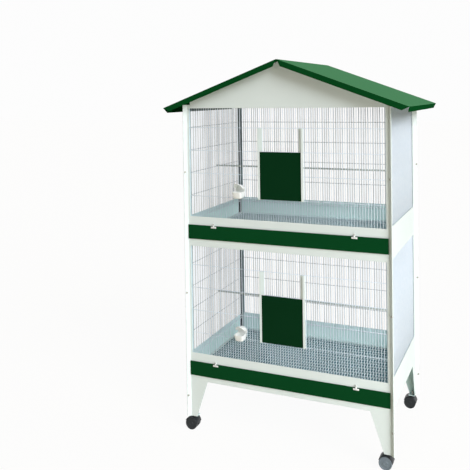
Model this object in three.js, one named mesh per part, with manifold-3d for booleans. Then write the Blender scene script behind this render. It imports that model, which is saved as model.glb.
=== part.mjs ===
// Two-storey bird aviary on four casters. Four folded sheet frames carry welded wire panels,
// each storey has a sliding drawer, a floor grate, a perch, a feeder and a lift-up door,
// and a two-slope sheet roof rests on two gables.
// Millimetres, +Z up, +X to the right, -Y to the front, floor at zero.
import * as THREE from 'three';
import { mergeVertices } from 'three/addons/utils/BufferGeometryUtils.js';
import Module from 'manifold-3d';

const wasm = await Module();
wasm.setup();

// Driving dimensions of the cage
const cageWidth = 804;
const cageDepth = 538;
const casterHeight = 54;
const legHeight = 147;
const bottomRailHeight = 22;
const drawerFrontHeight = 56;
const drawerRailHeight = 34;
const windowHeight = 432;
const bandHeight = 29;
const topRailHeight = 14;
const storeyNames = ['lower', 'upper'];

// Sheet metal and fits
const sheet = 1.5;
const seatGap = 0.3;
const cutOverrun = 5;

// Levels above the floor
const storeyPitch = drawerFrontHeight + drawerRailHeight + windowHeight + bandHeight;
const legFoot = casterHeight;
const bottomRail = legFoot + legHeight;
const storeysTop = bottomRail + bottomRailHeight + storeyNames.length * storeyPitch - bandHeight;
const frameTop = storeysTop + topRailHeight;
const drawerBase = (storey) => bottomRail + bottomRailHeight + storey * storeyPitch;
const windowBase = (storey) => drawerBase(storey) + drawerFrontHeight + drawerRailHeight;

// Corner posts and legs of the four wall frames
const frontFlange = 10;
const sideFlange = 30;
const wingWidth = 16;
const wingGap = 0.15;
const legTopWidth = 76;
const legFootWidth = 27;
const cornerShare = Math.SQRT1_2;

// Screws through the corner wings
const screwLevels = [85, 501, 987];
const screwInset = 11;
const screwRadius = 2;
const screwHeadRadius = 4;
const screwHeadHeight = 1.6;
const screwSides = 6;
const holeClearance = 0.3;
const holeSides = 8;

// Wire panels
const wireThickness = 2;
const wirePitch = 10.4;
const solidWireStep = 2;
const rimWidth = 3;
const rimLap = 0.75;
const panelOverlap = 4;
const panelSkirt = 20;
const firstCrossWire = 82;
const crossWirePitch = 91;
const crossWireCount = 4;

// Hatch and lift-up door
const hatchGapCount = 14;
const doorGapCount = 16;
const doorHeadIndex = 2;
const doorSheet = 1.2;
const doorEngagement = 5;
const guideDepth = 6;
const guideSheet = 1;
const guideLip = 8.5;
const guideBack = 18;
const guideWebClearance = 2;
const guideRise = crossWirePitch;

// Drawers
const drawerFrontProud = 4;
const drawerSheet = 1.2;
const drawerEdgeClearance = 3;
const traySideClearance = 2;
const trayBottomRise = 4;
const trayHeight = 11;
const trayRearClearance = 14;
const trayLedgeWidth = 20;
const ledgeEndClearance = 8;

// Floor grate above the drawer
const grateTopRise = 22;
const grateRim = 6;
const grateSideClearance = 3;
const grateLedgeWidth = 10;
const crossBarPitch = 52;

// Latches that turn on the drawer fronts
const latchInset = 120;
const latchFootWidth = 22;
const latchFootHeight = 6.5;
const latchStemWidth = 6;
const latchStemRise = 10;
const latchThickness = 2;
const latchFootDrop = 2;
const latchPivotRadius = 2;
const latchStudRadius = 1.8;
const latchStudHeight = 1;

// Perches
const perchRadius = 3.5;
const perchWireIndex = 1;
const perchSides = 10;

// Feeders
const feederGapIndex = -16;
const feederBodyShift = -4.6;
const feederWidth = 38;
const feederHeight = 61;
const feederDepth = 46;
const feederWall = 1.6;
const feederCupHeight = 26;
const feederHoodDepth = 30;
const feederHoodDrop = 22;
const feederFootShare = 0.8;
const feederCrownShare = 0.4;
const feederTongueWidth = 6;
const feederTongueHeight = 9;
const feederTongueLength = 24;

// Roof and gables
const roofRise = 168.5;
const roofPitchDegrees = 20.4;
const eaveOverhang = 81.6;
const roofFrontOverhang = 46;
const roofBackOverhang = 92;
const roofFlange = 21;
const ridgeGap = 2;
const ridgeLeaf = 30;
const gableInset = 16;
const gableLip = 12;
const gableLipEnd = 10;

// Twin-wheel casters
const casterInset = 12;
const casterTrail = 10;
const wheelRadius = 24;
const wheelWidth = 17;
const wheelSides = 20;
const wheelSideClearance = 0.6;
const casterWeb = 5;
const hoodRadius = 26.5;
const hoodSheet = 1.5;
const hoodSides = 8;
const hoodStartDegrees = 12;
const hoodSweepDegrees = 176;
const webStartDegrees = 23;
const webSweepDegrees = 154;
const casterAxleRadius = 4;
const casterCollarRadius = 8;
const casterStemRadius = 4;
const casterStemRise = 14;
const collarSides = 8;

// Finishes
const colours = {
  white: 0xe9efe8,
  green: 0x0b4a21,
  zinc: 0x9aa5aa,
  rod: 0x6f6a60,
  plastic: 0xf4f6f4,
  black: 0x17191b,
  wheel: 0x4a555c,
  steel: 0xa8adb0,
};

function finish(colour, roughness, metalness) {
  return new THREE.MeshStandardMaterial({ color: colour, roughness, metalness });
}

const whiteEnamel = () => finish(colours.white, 0.45, 0.1);
const greenEnamel = () => finish(colours.green, 0.4, 0.1);
const zincSheet = () => finish(colours.zinc, 0.4, 0.8);
const perchPlastic = () => finish(colours.rod, 0.6, 0);
const whitePlastic = () => finish(colours.plastic, 0.35, 0);
const blackPlastic = () => finish(colours.black, 0.4, 0);
const wheelPlastic = () => finish(colours.wheel, 0.5, 0);
const screwSteel = () => finish(colours.steel, 0.35, 0.9);

// Solids: a closed mesh becomes a solid to join and cut, and then a geometry again
function toSolid(geometry) {
  const bare = geometry.clone();
  bare.deleteAttribute('normal');
  bare.deleteAttribute('uv');
  const merged = mergeVertices(bare);
  const vertProperties = new Float32Array(merged.attributes.position.array);
  const triVerts = new Uint32Array(merged.index.array);
  return new wasm.Manifold(new wasm.Mesh({ numProp: 3, vertProperties, triVerts }));
}

function toGeometry(solid) {
  const mesh = solid.getMesh();
  const geometry = new THREE.BufferGeometry();
  geometry.setAttribute('position', new THREE.BufferAttribute(new Float32Array(mesh.vertProperties), 3));
  geometry.setIndex(new THREE.BufferAttribute(new Uint32Array(mesh.triVerts), 1));
  geometry.computeVertexNormals();
  return geometry;
}

function joined(geometries) {
  return geometries.map(toSolid).reduce((whole, piece) => whole.add(piece));
}

function cut(solid, geometries) {
  return geometries.map(toSolid).reduce((whole, piece) => whole.subtract(piece), solid);
}

function block(low, high) {
  const size = high.map((value, axis) => value - low[axis]);
  const geometry = new THREE.BoxGeometry(...size);
  geometry.translate(...low.map((value, axis) => (value + high[axis]) / 2));
  return geometry;
}

function outline(points) {
  return new THREE.Shape(points.map(([x, y]) => new THREE.Vector2(x, y)));
}

function prism(shape, length) {
  return new THREE.ExtrudeGeometry(shape, { depth: length, bevelEnabled: false });
}

// A plate whose outline is drawn in width and height, standing between two depths
function uprightPlate(shape, front, back) {
  const geometry = prism(shape, back - front);
  geometry.rotateX(Math.PI / 2);
  geometry.translate(0, back, 0);
  return geometry;
}

// A round bar along Y between two depths
function barAlongY(radius, sides, front, back) {
  const geometry = new THREE.CylinderGeometry(radius, radius, back - front, sides);
  geometry.translate(0, (front + back) / 2, 0);
  return geometry;
}

function part(name, geometry, material) {
  const mesh = new THREE.Mesh(geometry, material);
  mesh.name = name;
  return mesh;
}

// Each wall is drawn in its own frame: its outer face at y = 0, its inside towards +Y
const frontHalf = cageWidth / 2;
const sideHalf = cageDepth / 2;

// The plan of a wall's sheet: flat between two folds, with a wing turned out at each corner
const outerFold = (half) => half - (sheet + wingGap) / cornerShare;

function wallPlan(half) {
  const innerFold = half - sheet - wingGap / cornerShare;
  const reach = wingWidth * cornerShare;
  const outerShift = (sheet + wingGap) * cornerShare;
  const innerShift = wingGap * cornerShare;
  const right = [
    [outerFold(half), 0],
    [half + reach - outerShift, -reach - outerShift],
    [half + reach - innerShift, -reach - innerShift],
    [innerFold, sheet],
  ];
  const left = right.map(([x, y]) => [-x, y]).reverse();
  return outline([...right, ...left]);
}

// The middle of a corner screw along its wing, on one side of a wall
function screwSpot(half, side, level) {
  const reach = screwInset * cornerShare;
  return new THREE.Vector3(side * (half + reach), -reach, legFoot + level);
}

function screwHole(half, side, level) {
  const length = sheet * 2 + cutOverrun;
  const radius = screwRadius + holeClearance;
  const geometry = new THREE.CylinderGeometry(radius, radius, length, holeSides);
  geometry.rotateZ(-side * Math.PI / 4);
  const spot = screwSpot(half, side, level);
  geometry.translate(spot.x, spot.y, spot.z);
  return geometry;
}

function legGap(half) {
  const foot = half - legFootWidth;
  const top = half - legTopWidth;
  const shape = outline([
    [-foot, legFoot - cutOverrun],
    [foot, legFoot - cutOverrun],
    [foot, legFoot],
    [top, bottomRail],
    [-top, bottomRail],
    [-foot, legFoot],
  ]);
  return uprightPlate(shape, -cutOverrun, sheet + cutOverrun);
}

function windowCut(half, flange, storey) {
  const reach = half - flange;
  const base = windowBase(storey);
  return block([-reach, -cutOverrun, base], [reach, sheet + cutOverrun, base + windowHeight]);
}

function drawerCut(storey) {
  const reach = frontHalf - frontFlange;
  const base = drawerBase(storey);
  return block(
    [-reach, -cutOverrun, base + drawerEdgeClearance],
    [reach, sheet + cutOverrun, base + drawerFrontHeight - drawerEdgeClearance],
  );
}

// A foot plate closes the bottom of a leg and takes a caster's stem
function footPlate(side) {
  const inner = frontHalf - legFootWidth;
  const outer = frontHalf - sheet - seatGap;
  const low = Math.min(side * inner, side * outer);
  const high = Math.max(side * inner, side * outer);
  return block([low, 0, legFoot], [high, legFootWidth, legFoot + sheet]);
}

function stemHole(side) {
  const radius = casterStemRadius + holeClearance;
  const geometry = new THREE.CylinderGeometry(radius, radius, sheet + cutOverrun, collarSides);
  geometry.rotateX(Math.PI / 2);
  geometry.translate(side * (frontHalf - casterInset), casterInset, legFoot + sheet / 2);
  return geometry;
}

function wallFrame(half, flange, additions, cuts) {
  const plan = prism(wallPlan(half), frameTop - legFoot);
  plan.translate(0, 0, legFoot);
  const sides = [-1, 1];
  const windows = storeyNames.map((name, storey) => windowCut(half, flange, storey));
  const holes = sides.flatMap((side) => screwLevels.map((level) => screwHole(half, side, level)));
  const opened = cut(toSolid(plan), [legGap(half), ...windows, ...holes]);
  const whole = additions.map(toSolid).reduce((sum, piece) => sum.add(piece), opened);
  return toGeometry(cut(whole, cuts));
}

function frontFrame() {
  const feet = [-1, 1].map(footPlate);
  const cuts = [...storeyNames.map((name, storey) => drawerCut(storey)), ...[-1, 1].map(stemHole)];
  return wallFrame(frontHalf, frontFlange, feet, cuts);
}

function backFrame() {
  return wallFrame(frontHalf, frontFlange, [-1, 1].map(footPlate), [-1, 1].map(stemHole));
}

// Levels inside a storey
const trayBottom = (storey) => drawerBase(storey) + trayBottomRise;
const grateBottom = (storey) => drawerBase(storey) + grateTopRise - wireThickness * 2 - seatGap;

// A ledge folded inwards from a side wall, with its top at a given level
function ledge(width, top) {
  const reach = sideHalf - ledgeEndClearance;
  return block([-reach, 0, top - sheet], [reach, sheet + width, top]);
}

function sideFrame() {
  const ledges = storeyNames.flatMap((name, storey) => [
    ledge(trayLedgeWidth, trayBottom(storey) - seatGap),
    ledge(grateLedgeWidth, grateBottom(storey) - seatGap),
  ]);
  return wallFrame(sideHalf, sideFlange, ledges, []);
}

// Wire panel: upright wires in one layer, cross wires behind them on the thicker side rims,
// its lower end a short way behind the sheet below the window
const panelFront = sheet + seatGap;
const crossFront = panelFront + wireThickness + seatGap;
const panelBack = crossFront + wireThickness;

const crossWireLevel = (index) => firstCrossWire + index * crossWirePitch;
const doorSill = crossWireLevel(0);
const doorHead = crossWireLevel(doorHeadIndex);
const hatchCentre = -wirePitch / 2;
const hatchHalf = hatchGapCount * wirePitch / 2;

// These solids hold every second upright wire, counted from the edges of the hatch
const solidPitch = wirePitch * solidWireStep;

function wirePlaces(reach, centre) {
  const places = [];
  const count = Math.ceil(reach / solidPitch) + 1;
  for (let index = -count; index < count; index += 1) {
    const place = centre + (index + 1 / 2) * solidPitch;
    if (Math.abs(place) < reach - wirePitch / 2) {
      places.push(place);
    }
  }
  return places;
}

// The openings between the upright wires, which leave the wires and the rim standing
function panelGaps(half, flange, hatch) {
  const clear = half - flange + panelOverlap - rimWidth + rimLap;
  const low = rimWidth - panelSkirt;
  const high = windowHeight + panelOverlap - rimWidth;
  const centre = hatch ? hatchCentre : 0;
  const edges = [-clear - wireThickness / 2, ...wirePlaces(clear, centre), clear + wireThickness / 2];
  const openings = [];
  const addOpening = (left, bottom, right, top) => {
    const back = panelFront + wireThickness + cutOverrun;
    openings.push(block([left, panelFront - cutOverrun, bottom], [right, back, top]));
  };
  edges.slice(1).forEach((edge, index) => {
    const left = edges[index] + wireThickness / 2;
    const right = edge - wireThickness / 2;
    if (hatch && Math.abs((left + right) / 2 - hatchCentre) < hatchHalf) {
      addOpening(left, low, right, doorSill - wireThickness / 2);
      addOpening(left, doorHead + wireThickness / 2, right, high);
    } else {
      addOpening(left, low, right, high);
    }
  });
  if (hatch) {
    const inner = hatchHalf - wireThickness / 2;
    const sill = doorSill + wireThickness / 2;
    const head = doorHead - wireThickness / 2;
    addOpening(hatchCentre - inner, sill, hatchCentre + inner, head);
  }
  return openings;
}

function crossWires(half, flange, hatch) {
  const reach = half - flange + panelOverlap - rimWidth / 2;
  const pieces = [];
  for (let index = 0; index < crossWireCount; index += 1) {
    const low = crossWireLevel(index) - wireThickness / 2;
    const high = low + wireThickness;
    const inHatch = hatch && crossWireLevel(index) > doorSill && crossWireLevel(index) < doorHead;
    if (inHatch) {
      pieces.push(block([-reach, crossFront, low], [hatchCentre - hatchHalf, panelBack, high]));
      pieces.push(block([hatchCentre + hatchHalf, crossFront, low], [reach, panelBack, high]));
    } else {
      pieces.push(block([-reach, crossFront, low], [reach, panelBack, high]));
    }
  }
  return pieces;
}

// The rims and the hatch's posts are as deep as both layers of wire
function deepPost(middle, width, low, high) {
  return block([middle - width / 2, panelFront, low], [middle + width / 2, panelBack, high]);
}

function wirePanel(half, flange, hatch) {
  const reach = half - flange + panelOverlap;
  const rimMiddle = reach - rimWidth / 2;
  const top = windowHeight + panelOverlap;
  const blank = block([-rimMiddle, panelFront, -panelSkirt], [rimMiddle, panelFront + wireThickness, top]);
  const plate = cut(toSolid(blank), panelGaps(half, flange, hatch));
  const posts = [-1, 1].map((side) => deepPost(side * rimMiddle, rimWidth, -panelSkirt, top));
  const hatchPosts = [-1, 1].map((side) => {
    const middle = hatchCentre + side * hatchHalf;
    return deepPost(middle, rimWidth, doorSill - rimWidth / 2, doorHead + rimWidth / 2);
  });
  const pieces = [...posts, ...crossWires(half, flange, hatch), ...(hatch ? hatchPosts : [])];
  return toGeometry(plate.add(joined(pieces)));
}

// Lift-up door in its two guides
const doorHalf = doorGapCount * wirePitch / 2;
const guideBackFace = panelFront - seatGap;
const guideFrontFace = guideBackFace - guideDepth;
const doorHeight = doorHead - doorSill;
const doorBack = (guideFrontFace + guideBackFace + doorSheet) / 2;

function doorPanel() {
  const reach = doorHalf + doorEngagement;
  return block([-reach, doorBack - doorSheet, 0], [reach, doorBack, doorHeight]);
}

// The right guide's channel in plan, with its web outside; the left one is its mirror image
function guideChannel(side) {
  const web = doorHalf + doorEngagement + guideWebClearance + guideSheet;
  const plan = [
    [web, guideFrontFace],
    [web, guideBackFace],
    [web - guideBack, guideBackFace],
    [web - guideBack, guideBackFace - guideSheet],
    [web - guideSheet, guideBackFace - guideSheet],
    [web - guideSheet, guideFrontFace + guideSheet],
    [web - guideLip, guideFrontFace + guideSheet],
    [web - guideLip, guideFrontFace],
  ].map(([x, y]) => [side * x, y]);
  const foot = -seatGap;
  const channel = prism(outline(plan), doorHeight + guideRise + guideSheet - foot);
  channel.translate(0, 0, foot - guideSheet);
  const inner = Math.min(side * (web - guideLip), side * web);
  const outer = Math.max(side * (web - guideLip), side * web);
  const sole = block([inner, guideFrontFace, foot - guideSheet], [outer, guideBackFace, foot]);
  return toGeometry(joined([channel, sole]));
}

// Drawer: a green front pan with a zinc tray behind it
const drawerFace = -drawerFrontProud;
const drawerHalf = outerFold(frontHalf) - seatGap;
const trayFront = drawerFace + drawerSheet + seatGap;

// The latches stand evenly to both sides of the doors, near the cage's corners
const latchPlace = (side) => hatchCentre + side * (frontHalf - latchInset);

function latchPivotCut(side) {
  const radius = latchPivotRadius + holeClearance;
  const hole = barAlongY(radius, holeSides, drawerFace - cutOverrun, drawerFace + drawerSheet + cutOverrun);
  const reach = drawerFrontHeight - latchFootDrop - latchFootHeight / 2;
  hole.translate(latchPlace(side), 0, reach);
  return hole;
}

function drawerFront() {
  const pan = block([-drawerHalf, drawerFace, 0], [drawerHalf, -seatGap, drawerFrontHeight]);
  const hollow = block(
    [-drawerHalf + drawerSheet, drawerFace + drawerSheet, drawerSheet],
    [drawerHalf - drawerSheet, cutOverrun, drawerFrontHeight - drawerSheet],
  );
  return toGeometry(cut(toSolid(pan), [hollow, latchPivotCut(-1), latchPivotCut(1)]));
}

function tray() {
  const reach = frontHalf - frontFlange - traySideClearance;
  const back = cageDepth - trayRearClearance;
  const outer = block([-reach, trayFront, 0], [reach, back, trayHeight]);
  const inner = block(
    [-reach + drawerSheet, trayFront + drawerSheet, drawerSheet],
    [reach - drawerSheet, back - drawerSheet, trayHeight + cutOverrun],
  );
  return toGeometry(cut(toSolid(outer), [inner]));
}

// Latch: a turning T-shaped clip, foot on the drawer front and tongue over the rail
function latch() {
  const back = drawerFace - seatGap;
  const front = back - latchThickness;
  const tongueTop = latchStemRise + latchFootDrop + latchFootHeight / 2;
  const stem = latchStemWidth / 2;
  const foot = latchFootWidth / 2;
  const shape = outline([
    [-foot, -latchFootHeight / 2],
    [foot, -latchFootHeight / 2],
    [foot, latchFootHeight / 2],
    [stem, latchFootHeight / 2],
    [stem, tongueTop],
    [-stem, tongueTop],
    [-stem, latchFootHeight / 2],
    [-foot, latchFootHeight / 2],
  ]);
  const pin = barAlongY(latchPivotRadius, holeSides, front + latchThickness / 2, drawerFace + drawerSheet);
  const stud = barAlongY(latchStudRadius, holeSides, front - latchStudHeight, front + latchThickness / 2);
  stud.translate(0, 0, tongueTop - latchStemWidth / 2);
  return toGeometry(joined([uprightPlate(shape, front, back), pin, stud]));
}

// Floor grate: wires from front to back, with cross bars under them on the side rims
function grate() {
  const reach = frontHalf - sheet - grateSideClearance;
  const depth = sideHalf - sheet - grateSideClearance;
  const base = wireThickness + seatGap;
  const top = base + wireThickness;
  const slotCount = Math.floor((reach - grateRim) * 2 / solidPitch);
  const slots = [];
  for (let index = 0; index < slotCount; index += 1) {
    const middle = (index - (slotCount - 1) / 2) * solidPitch;
    const half = (solidPitch - wireThickness) / 2;
    const end = depth - rimWidth;
    slots.push(block([middle - half, -end, base - cutOverrun], [middle + half, end, top + cutOverrun]));
  }
  const rimMiddle = reach - rimWidth / 2;
  const plate = cut(toSolid(block([-rimMiddle, -depth, base], [rimMiddle, depth, top])), slots);
  const barCount = Math.floor((depth - grateRim) * 2 / crossBarPitch);
  const half = wireThickness / 2;
  const crossBars = [];
  for (let index = 0; index < barCount; index += 1) {
    const middle = (index - (barCount - 1) / 2) * crossBarPitch;
    crossBars.push(block([-rimMiddle, middle - half, 0], [rimMiddle, middle + half, wireThickness]));
  }
  const rims = [-1, 1].map((side) => {
    const edge = side * rimMiddle;
    return block([edge - rimWidth / 2, -depth, 0], [edge + rimWidth / 2, depth, top]);
  });
  return toGeometry(plate.add(joined([...rims, ...crossBars])));
}

// A perch rests on the side panels' second cross wire, its ends against an upright wire
const perchDepth = sideHalf - wirePitch;
const perchRise = crossWireLevel(perchWireIndex) + wireThickness / 2 + seatGap + perchRadius;

function perch() {
  const reach = frontHalf - panelFront - wireThickness - seatGap;
  const geometry = new THREE.CylinderGeometry(perchRadius, perchRadius, reach * 2, perchSides);
  geometry.rotateZ(Math.PI / 2);
  return geometry;
}

// Feeder: a hooded cup outside the front wires, with a tongue that reaches in between two of them
function feeder() {
  const back = panelFront - seatGap;
  const left = -feederWidth / 2 + feederBodyShift;
  const lip = feederHeight - feederHoodDrop;
  const profile = [
    [0, 0],
    [feederDepth * feederFootShare, 0],
    [feederDepth, feederCupHeight],
    [feederDepth - feederWall, feederCupHeight],
    [feederHoodDepth - feederWall, feederWall * 2],
    [feederWall, feederWall * 2],
    [feederWall, feederHeight - feederWall * 2],
    [feederHoodDepth - feederWall * 2, lip],
    [feederHoodDepth, lip],
    [feederHoodDepth * feederCrownShare, feederHeight],
    [0, feederHeight],
  ];
  const shell = prism(outline(profile), feederWidth);
  shell.rotateX(Math.PI / 2);
  shell.rotateZ(-Math.PI / 2);
  shell.translate(left + feederWidth, back, 0);
  const cheek = outline([
    [0, 0],
    [feederDepth * feederFootShare, 0],
    [feederDepth, feederCupHeight],
    [feederHoodDepth, lip],
    [feederHoodDepth * feederCrownShare, feederHeight],
    [0, feederHeight],
  ]);
  const cheeks = [left + feederWall, left + feederWidth].map((end) => {
    const geometry = prism(cheek, feederWall);
    geometry.rotateX(Math.PI / 2);
    geometry.rotateZ(-Math.PI / 2);
    geometry.translate(end, back, 0);
    return geometry;
  });
  const tongueLow = feederWall * 2;
  const tongue = block(
    [-feederTongueWidth / 2, back - feederWall, tongueLow],
    [feederTongueWidth / 2, back + feederTongueLength, tongueLow + feederTongueHeight],
  );
  return toGeometry(joined([shell, ...cheeks, tongue]));
}

// Gable: a sheet triangle in front of the top rail, with a folded seat lip along each slope
const roofPitch = THREE.MathUtils.degToRad(roofPitchDegrees);
const roofFall = Math.tan(roofPitch);
const ridgeHeight = frameTop + roofRise;
const slopeLength = (frontHalf + eaveOverhang) / Math.cos(roofPitch);
const underRoof = (x, depth) => ridgeHeight - Math.abs(x) * roofFall - depth / Math.cos(roofPitch);

function gable() {
  const half = frontHalf - gableInset;
  const step = (ridgeLeaf + ridgeGap) * Math.cos(roofPitch);
  const underSheet = sheet + seatGap;
  const underStrip = underSheet * 2;
  const bottom = frameTop - topRailHeight;
  const right = [
    [half, bottom],
    [half, underRoof(half, underSheet)],
    [step, underRoof(step, underSheet)],
    [step, underRoof(step, underStrip)],
  ];
  const left = right.map(([x, z]) => [-x, z]).reverse();
  const front = -sheet - seatGap;
  const plate = uprightPlate(outline([...right, [0, underRoof(0, underStrip)], ...left]), front, -seatGap);
  const lips = [-1, 1].map((side) => {
    const points = [
      [half - gableLipEnd, underRoof(half - gableLipEnd, underSheet)],
      [step, underRoof(step, underSheet)],
      [step, underRoof(step, underSheet + sheet)],
      [half - gableLipEnd, underRoof(half - gableLipEnd, underSheet + sheet)],
    ].map(([x, z]) => [side * x, z]);
    return uprightPlate(outline(points), front, gableLip);
  });
  return toGeometry(joined([plate, ...lips]));
}

// Roof slope in its own frame: x runs down the slope from the ridge, z stands square to the sheet
const roofHalfDepth = sideHalf + (roofFrontOverhang + roofBackOverhang) / 2;

function roofSlope() {
  const start = ridgeGap;
  const panel = block([start, -roofHalfDepth, -sheet], [slopeLength, roofHalfDepth, 0]);
  const gablePlan = outline([
    [start, 0],
    [slopeLength, 0],
    [slopeLength - roofFlange, -roofFlange],
    [start + roofFlange, -roofFlange],
  ]);
  const frontFlange = uprightPlate(gablePlan, -roofHalfDepth, -roofHalfDepth + sheet);
  const backFlange = uprightPlate(gablePlan, roofHalfDepth - sheet, roofHalfDepth);
  const eavePlan = outline([
    [-roofHalfDepth, 0],
    [roofHalfDepth, 0],
    [roofHalfDepth - roofFlange, -roofFlange],
    [-roofHalfDepth + roofFlange, -roofFlange],
  ]);
  const eaveFlange = uprightPlate(eavePlan, -slopeLength, -slopeLength + sheet);
  eaveFlange.rotateZ(Math.PI / 2);
  return toGeometry(joined([panel, frontFlange, backFlange, eaveFlange]));
}

// Ridge strip: a folded angle under both slopes
function ridgeStrip() {
  const reach = ridgeLeaf * Math.cos(roofPitch);
  const top = sheet + seatGap;
  const bottom = top + sheet;
  const shape = outline([
    [0, underRoof(0, top)],
    [reach, underRoof(reach, top)],
    [reach, underRoof(reach, bottom)],
    [0, underRoof(0, bottom)],
    [-reach, underRoof(reach, bottom)],
    [-reach, underRoof(reach, top)],
  ]);
  const end = roofHalfDepth - sheet - seatGap;
  return uprightPlate(shape, -end, end);
}

// Caster housing: collar and stem on the hood, with a web that holds the axle between the wheels
function arcPoints(radius, startDegrees, sweepDegrees, steps) {
  const points = [];
  for (let step = 0; step <= steps; step += 1) {
    const angle = THREE.MathUtils.degToRad(startDegrees + sweepDegrees * step / steps);
    points.push([radius * Math.cos(angle), radius * Math.sin(angle)]);
  }
  return points;
}

const wheelOuterRadius = wheelRadius / Math.cos(Math.PI / wheelSides);
const hoodInnerRadius = hoodRadius - hoodSheet;
const hoodMiddleRadius = hoodRadius - hoodSheet / 2;
const casterHalfWidth = casterWeb / 2 + wheelSideClearance + wheelWidth;
const collarTop = casterHeight - seatGap - wheelRadius;

function casterHousing() {
  const outer = arcPoints(hoodRadius, hoodStartDegrees, hoodSweepDegrees, hoodSides);
  const inner = arcPoints(hoodInnerRadius, hoodStartDegrees, hoodSweepDegrees, hoodSides);
  const hood = uprightPlate(outline([...outer, ...inner.reverse()]), -casterHalfWidth, casterHalfWidth);
  const collar = new THREE.CylinderGeometry(casterCollarRadius, casterCollarRadius, collarTop, collarSides);
  collar.rotateX(Math.PI / 2);
  collar.translate(casterTrail, 0, collarTop / 2);
  const bore = barAlongY(hoodMiddleRadius, wheelSides, -casterHalfWidth, casterHalfWidth);
  const shell = joined([hood]).add(toSolid(collar).subtract(toSolid(bore)));
  const web = uprightPlate(
    outline(arcPoints(hoodMiddleRadius, webStartDegrees, webSweepDegrees, hoodSides)),
    -casterWeb / 2,
    casterWeb / 2,
  );
  const hub = barAlongY(casterAxleRadius * 2, collarSides, -casterWeb / 2, casterWeb / 2);
  const stem = new THREE.CylinderGeometry(
    casterStemRadius,
    casterStemRadius,
    casterStemRise + seatGap + sheet,
    collarSides,
  );
  stem.rotateX(Math.PI / 2);
  stem.translate(casterTrail, 0, collarTop + (casterStemRise + seatGap + sheet) / 2 - sheet / 2);
  const axleHole = barAlongY(casterAxleRadius + holeClearance, collarSides, -casterWeb, casterWeb);
  const body = [web, hub, stem].map(toSolid).reduce((whole, piece) => whole.add(piece), shell);
  return toGeometry(cut(body, [axleHole]));
}

// Both wheels of a caster turn together on one axle, each with a flat facet on the floor
function casterWheels() {
  const discs = [-1, 1].map((side) => {
    const near = side * (casterWeb / 2 + wheelSideClearance);
    const far = side * casterHalfWidth;
    const disc = barAlongY(wheelOuterRadius, wheelSides, Math.min(near, far), Math.max(near, far));
    disc.rotateY(Math.PI / wheelSides);
    return disc;
  });
  const middle = casterHalfWidth - wheelWidth / 2;
  const axle = barAlongY(casterAxleRadius, collarSides, -middle, middle);
  return toGeometry(joined([...discs, axle]));
}

// Corner screw: head, shank through both wings and nut, turned about its own axis
function cornerScrew() {
  const grip = sheet + wingGap + seatGap;
  const end = grip + screwHeadHeight;
  const profile = [
    [0, -end],
    [screwHeadRadius, -end],
    [screwHeadRadius, -grip],
    [screwRadius, -grip],
    [screwRadius, grip],
    [screwHeadRadius, grip],
    [screwHeadRadius, end],
    [0, end],
  ].map(([x, y]) => new THREE.Vector2(x, y));
  return toGeometry(toSolid(new THREE.LatheGeometry(profile, screwSides)));
}

// Assembly of one wall
function wallGroup(x, y, turn) {
  const group = new THREE.Group();
  group.position.set(x, y, 0);
  group.rotation.z = turn;
  return group;
}

function addPanels(group, label, half, flange, hatch) {
  storeyNames.forEach((name, storey) => {
    const panel = part(`wire_panel_${label}_${name}`, wirePanel(half, flange, hatch), whiteEnamel());
    panel.position.z = windowBase(storey);
    group.add(panel);
  });
}

function addScrews(group, label) {
  const levelNames = ['low', 'middle', 'high'];
  [-1, 1].forEach((side) => {
    screwLevels.forEach((level, index) => {
      const sideName = side < 0 ? 'a' : 'b';
      const name = `corner_screw_${label}_${sideName}_${levelNames[index]}`;
      const screw = part(name, cornerScrew(), screwSteel());
      screw.position.copy(screwSpot(frontHalf, side, level));
      screw.rotation.z = -side * Math.PI / 4;
      group.add(screw);
    });
  });
}

function addCasters(group, label) {
  [-1, 1].forEach((side) => {
    const world = label === 'front' ? side : -side;
    const name = `${label}_${world < 0 ? 'left' : 'right'}`;
    const caster = new THREE.Group();
    caster.position.set(side * (frontHalf - casterInset), casterInset, wheelRadius);
    const pivot = new THREE.Group();
    pivot.rotation.z = -group.rotation.z;
    const offset = new THREE.Group();
    offset.position.x = -casterTrail;
    offset.add(part(`caster_housing_${name}`, casterHousing(), blackPlastic()));
    offset.add(part(`caster_wheels_${name}`, casterWheels(), wheelPlastic()));
    pivot.add(offset);
    caster.add(pivot);
    group.add(caster);
  });
}

function frontWall() {
  const group = wallGroup(0, -sideHalf, 0);
  group.add(part('frame_front', frontFrame(), whiteEnamel()));
  addPanels(group, 'front', frontHalf, frontFlange, true);
  addScrews(group, 'front');
  addCasters(group, 'front');
  group.add(part('gable_front', gable(), whiteEnamel()));
  return group;
}

function backWall() {
  const group = wallGroup(0, sideHalf, Math.PI);
  group.add(part('frame_back', backFrame(), whiteEnamel()));
  addPanels(group, 'back', frontHalf, frontFlange, false);
  addScrews(group, 'back');
  addCasters(group, 'back');
  group.add(part('gable_back', gable(), whiteEnamel()));
  return group;
}

function sideWall(label, side) {
  const group = wallGroup(side * frontHalf, 0, side * Math.PI / 2);
  group.add(part(`frame_${label}`, sideFrame(), whiteEnamel()));
  addPanels(group, label, sideHalf, sideFlange, false);
  return group;
}

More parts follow.
